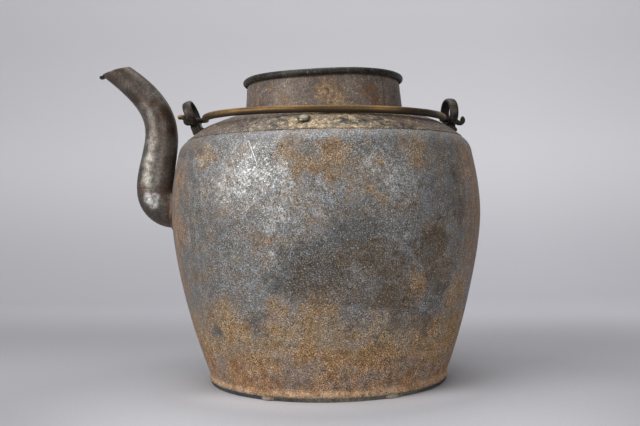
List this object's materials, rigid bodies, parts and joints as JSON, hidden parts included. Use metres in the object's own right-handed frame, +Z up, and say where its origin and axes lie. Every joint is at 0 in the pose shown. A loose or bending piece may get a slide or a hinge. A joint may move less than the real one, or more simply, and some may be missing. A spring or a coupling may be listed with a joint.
{
  "type": "wine pot",
  "caption": "Round-bellied pewter pot with a wide open neck, an S-shaped pouring spout and a swinging brass wire bail held in eyes on the shoulder.",
  "frame": {"origin": "centre of the base plate's flat underside, on the pot's axis and on the surface it stands on", "axes": "+Z up along the pot's axis; the spout points toward -X; the bail rests toward -Y, which is the pictured front"},
  "size_m": [0.2216, 0.1794, 0.1856],
  "materials": {
    "pewter_body": "aged, mottled grey and ochre patina",
    "pewter_neck": "dark brown-grey patina",
    "pewter_dark": "nearly black tarnish",
    "solder": "dull, rough",
    "bail_brass": "olive-brown tarnish, worn brighter on top"
  },
  "bodies": {
    "pot": {"body_wall": "pewter_body", "base_plate": "pewter_dark", "foot_front_left": "solder", "foot_front_right": "solder", "foot_rear_left": "solder", "foot_rear_right": "solder", "shoulder": "pewter_body", "shoulder_rivet": "pewter_body", "neck_collar": "pewter_neck", "rim_wire": "pewter_dark", "spout_elbow": "pewter_neck", "spout_tube": "pewter_neck", "spout_root_solder": "solder", "spout_drip_bead": "pewter_dark", "left_ear": "pewter_dark", "right_ear": "pewter_dark"},
    "bail": {"bail_handle": "bail_brass"}
  },
  "joints": [
    {"name": "bail_swing", "type": "hinge", "parent": "pot", "child": "bail", "pos_m": [-0.00125, 0, 0.15116], "axis": [-0.9999, 0, 0.0153], "range_deg": [0, 181.6]}
  ]
}
